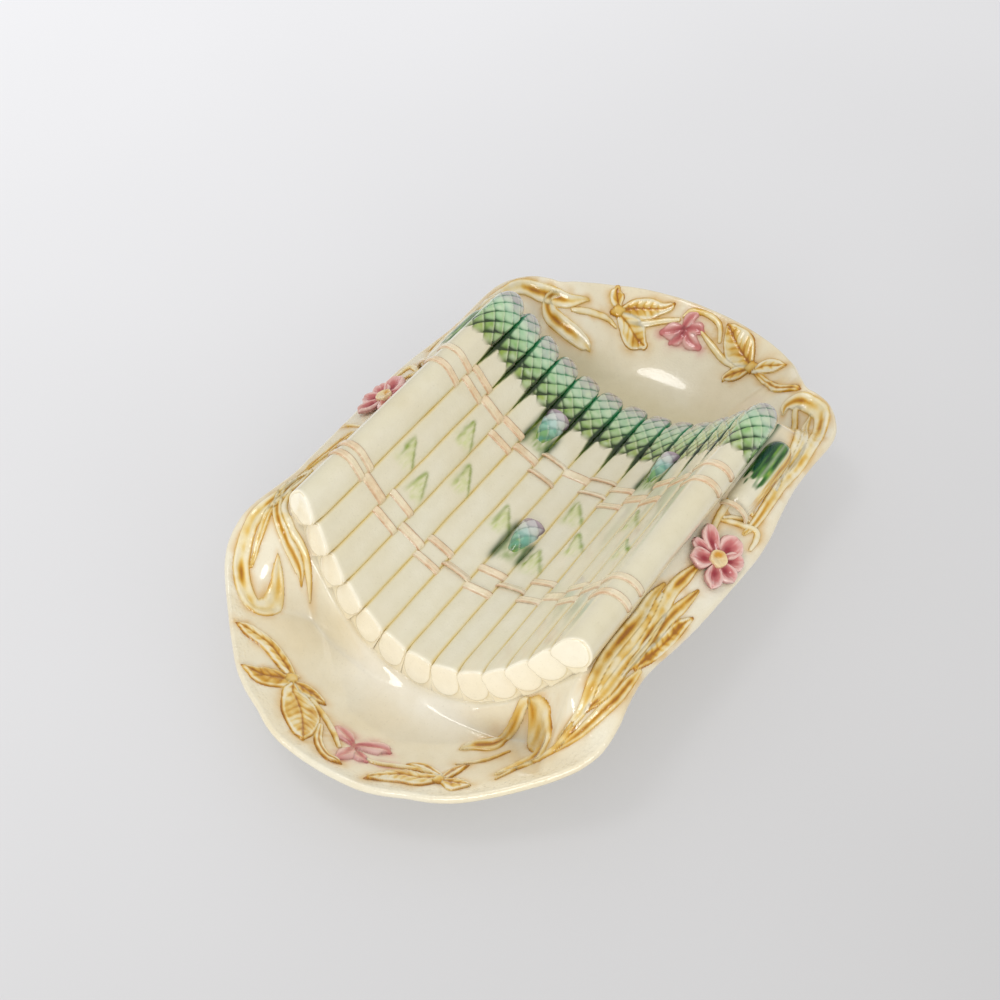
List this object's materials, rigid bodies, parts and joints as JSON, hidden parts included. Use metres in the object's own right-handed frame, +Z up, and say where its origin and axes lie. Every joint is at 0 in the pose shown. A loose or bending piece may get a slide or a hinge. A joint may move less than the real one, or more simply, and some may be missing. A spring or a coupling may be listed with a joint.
{
  "type": "asparagus plate",
  "caption": "Oval glazed earthenware asparagus plate with a raised cradle moulded as tied spears, a sauce well at each end and flowers, leaves and reeds on the rim.",
  "frame": {"origin": "bottom centre of the bounding box, on the table under the foot ring", "axes": "+X along the spears from their cut ends to their tips, +Y to the left seen from the cut ends, +Z up"},
  "size_m": [0.3874, 0.2392, 0.0859],
  "materials": {
    "cream_glaze": "glossy",
    "spear_glaze": "glossy",
    "withy_glaze": "glossy",
    "green_glaze": "glossy",
    "pink_glaze": "glossy",
    "yellow_glaze": "glossy",
    "amber_glaze": "glossy"
  },
  "bodies": {
    "root": {"dish": "cream_glaze", "foot_ring": "cream_glaze", "spear_left_6": "spear_glaze", "spear_left_5": "spear_glaze", "spear_left_4": "spear_glaze", "spear_left_3": "spear_glaze", "spear_left_2": "spear_glaze", "spear_left_1": "spear_glaze", "spear_middle": "spear_glaze", "spear_right_1": "spear_glaze", "spear_right_2": "spear_glaze", "spear_right_3": "spear_glaze", "spear_right_4": "spear_glaze", "spear_right_5": "spear_glaze", "spear_right_6": "spear_glaze", "flank_spear_left": "spear_glaze", "flank_spear_right": "spear_glaze", "front_tie": "withy_glaze", "rear_tie": "withy_glaze", "flank_tie_left": "withy_glaze", "flank_tie_right": "withy_glaze", "bud_middle": "green_glaze", "bud_left": "green_glaze", "bud_right": "green_glaze", "flower_right": "pink_glaze", "flower_right_eye": "yellow_glaze", "flower_left": "pink_glaze", "flower_left_eye": "yellow_glaze", "flower_front": "pink_glaze", "flower_rear": "pink_glaze", "leaves_front_left": "amber_glaze", "leaves_front_right": "amber_glaze", "leaves_rear_left": "amber_glaze", "leaves_rear_right": "amber_glaze", "reeds_front_left": "amber_glaze", "reeds_front_right": "amber_glaze", "reeds_rear_left": "amber_glaze", "reeds_rear_right": "amber_glaze", "tendril_left": "amber_glaze", "tendril_right": "amber_glaze"}
  },
  "joints": []
}
